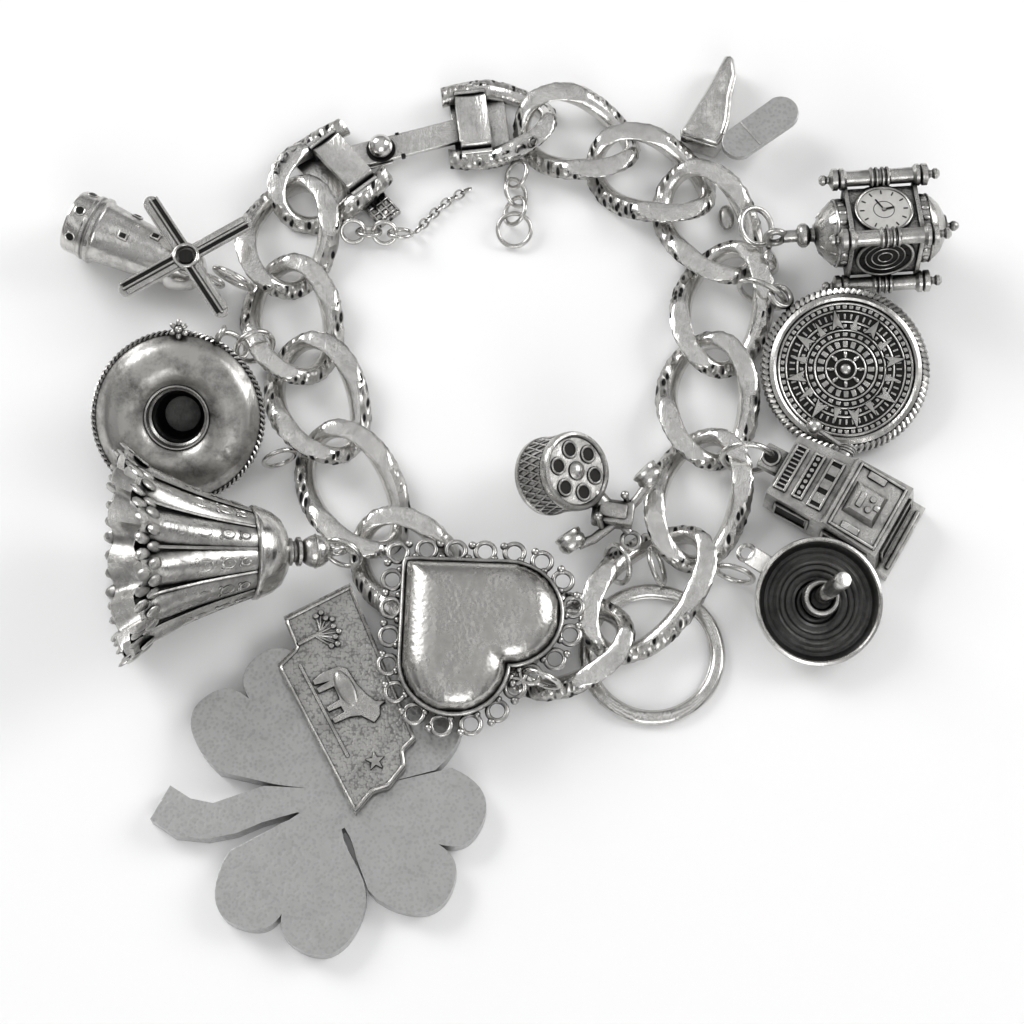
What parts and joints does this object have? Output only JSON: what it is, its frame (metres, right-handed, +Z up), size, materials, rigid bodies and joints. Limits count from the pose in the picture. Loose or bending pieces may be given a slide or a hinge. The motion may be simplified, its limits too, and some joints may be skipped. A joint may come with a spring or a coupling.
{
  "type": "charm bracelet",
  "caption": "Silver curb-link charm bracelet laid in a loop, with a tongue clasp, a safety chain and hanging charms.",
  "frame": {"origin": "on the surface that the bracelet lies on, under the middle of its bounding box", "axes": "+Z up from the surface; +Y from the loop's lower end, where the plain ring hangs, to its clasp; +X to the right seen from above"},
  "size_m": [0.1146, 0.1186, 0.0258],
  "materials": {
    "polished_silver": "polished sterling silver",
    "bark_silver": "hand-cut bark-textured sterling silver",
    "satin_silver": "satin sterling silver",
    "antique_silver": "antiqued sterling silver, dark in the recesses",
    "blackened_silver": "oxidised sterling silver"
  },
  "bodies": {
    "bracelet": {"bean_tag": "antique_silver", "bell_ring": "polished_silver", "bell_shade": "antique_silver", "clasp_box_link": "bark_silver", "clasp_tongue_link": "bark_silver", "clock_ring": "polished_silver", "clover": "satin_silver", "dish_ring": "polished_silver", "extension_end_ring": "polished_silver", "extension_ring_1": "polished_silver", "extension_ring_2": "polished_silver", "extension_ring_3": "polished_silver", "heart": "polished_silver", "heart_ring_1": "polished_silver", "lantern_clock": "antique_silver", "link_01": "bark_silver", "link_02": "bark_silver", "link_03": "bark_silver", "link_04": "bark_silver", "link_05": "bark_silver", "link_06": "bark_silver", "link_07": "bark_silver", "link_08": "bark_silver", "link_09": "bark_silver", "link_10": "bark_silver", "link_11": "bark_silver", "link_12": "bark_silver", "link_13": "bark_silver", "link_14": "bark_silver", "medallion": "antique_silver", "medallion_ring": "polished_silver", "pear_drop": "polished_silver", "plain_ring": "polished_silver", "safety_chain": "polished_silver", "safety_ring_1": "polished_silver", "safety_ring_2": "polished_silver", "safety_ring_3": "polished_silver", "safety_ring_4": "polished_silver", "shoe_side": "polished_silver", "shoe_sole": "satin_silver", "slot_machine_body": "antique_silver", "slot_machine_ring": "polished_silver", "sombrero": "antique_silver", "sombrero_ring_1": "polished_silver", "sombrero_ring_2": "polished_silver", "spare_ring": "polished_silver", "spinning_dish": "blackened_silver", "state_plaque": "antique_silver", "telephone": "antique_silver", "telephone_ring_1": "polished_silver", "telephone_ring_2": "polished_silver", "windmill_ring": "polished_silver", "windmill_tower": "polished_silver"},
    "sails": {"windmill_sails": "polished_silver"},
    "lever": {"slot_machine_lever": "polished_silver"}
  },
  "joints": [
    {"name": "sails_spin", "type": "hinge", "parent": "bracelet", "child": "sails", "pos_m": [-0.04076, 0.02814, 0.0074], "axis": [0.0558, -0.0248, 0.9981], "continuous": true},
    {"name": "lever_pull", "type": "hinge", "parent": "bracelet", "child": "lever", "pos_m": [0.03913, -0.00219, 0.00495], "axis": [0.5, 0.866, 0], "range_deg": [0, 50]}
  ]
}
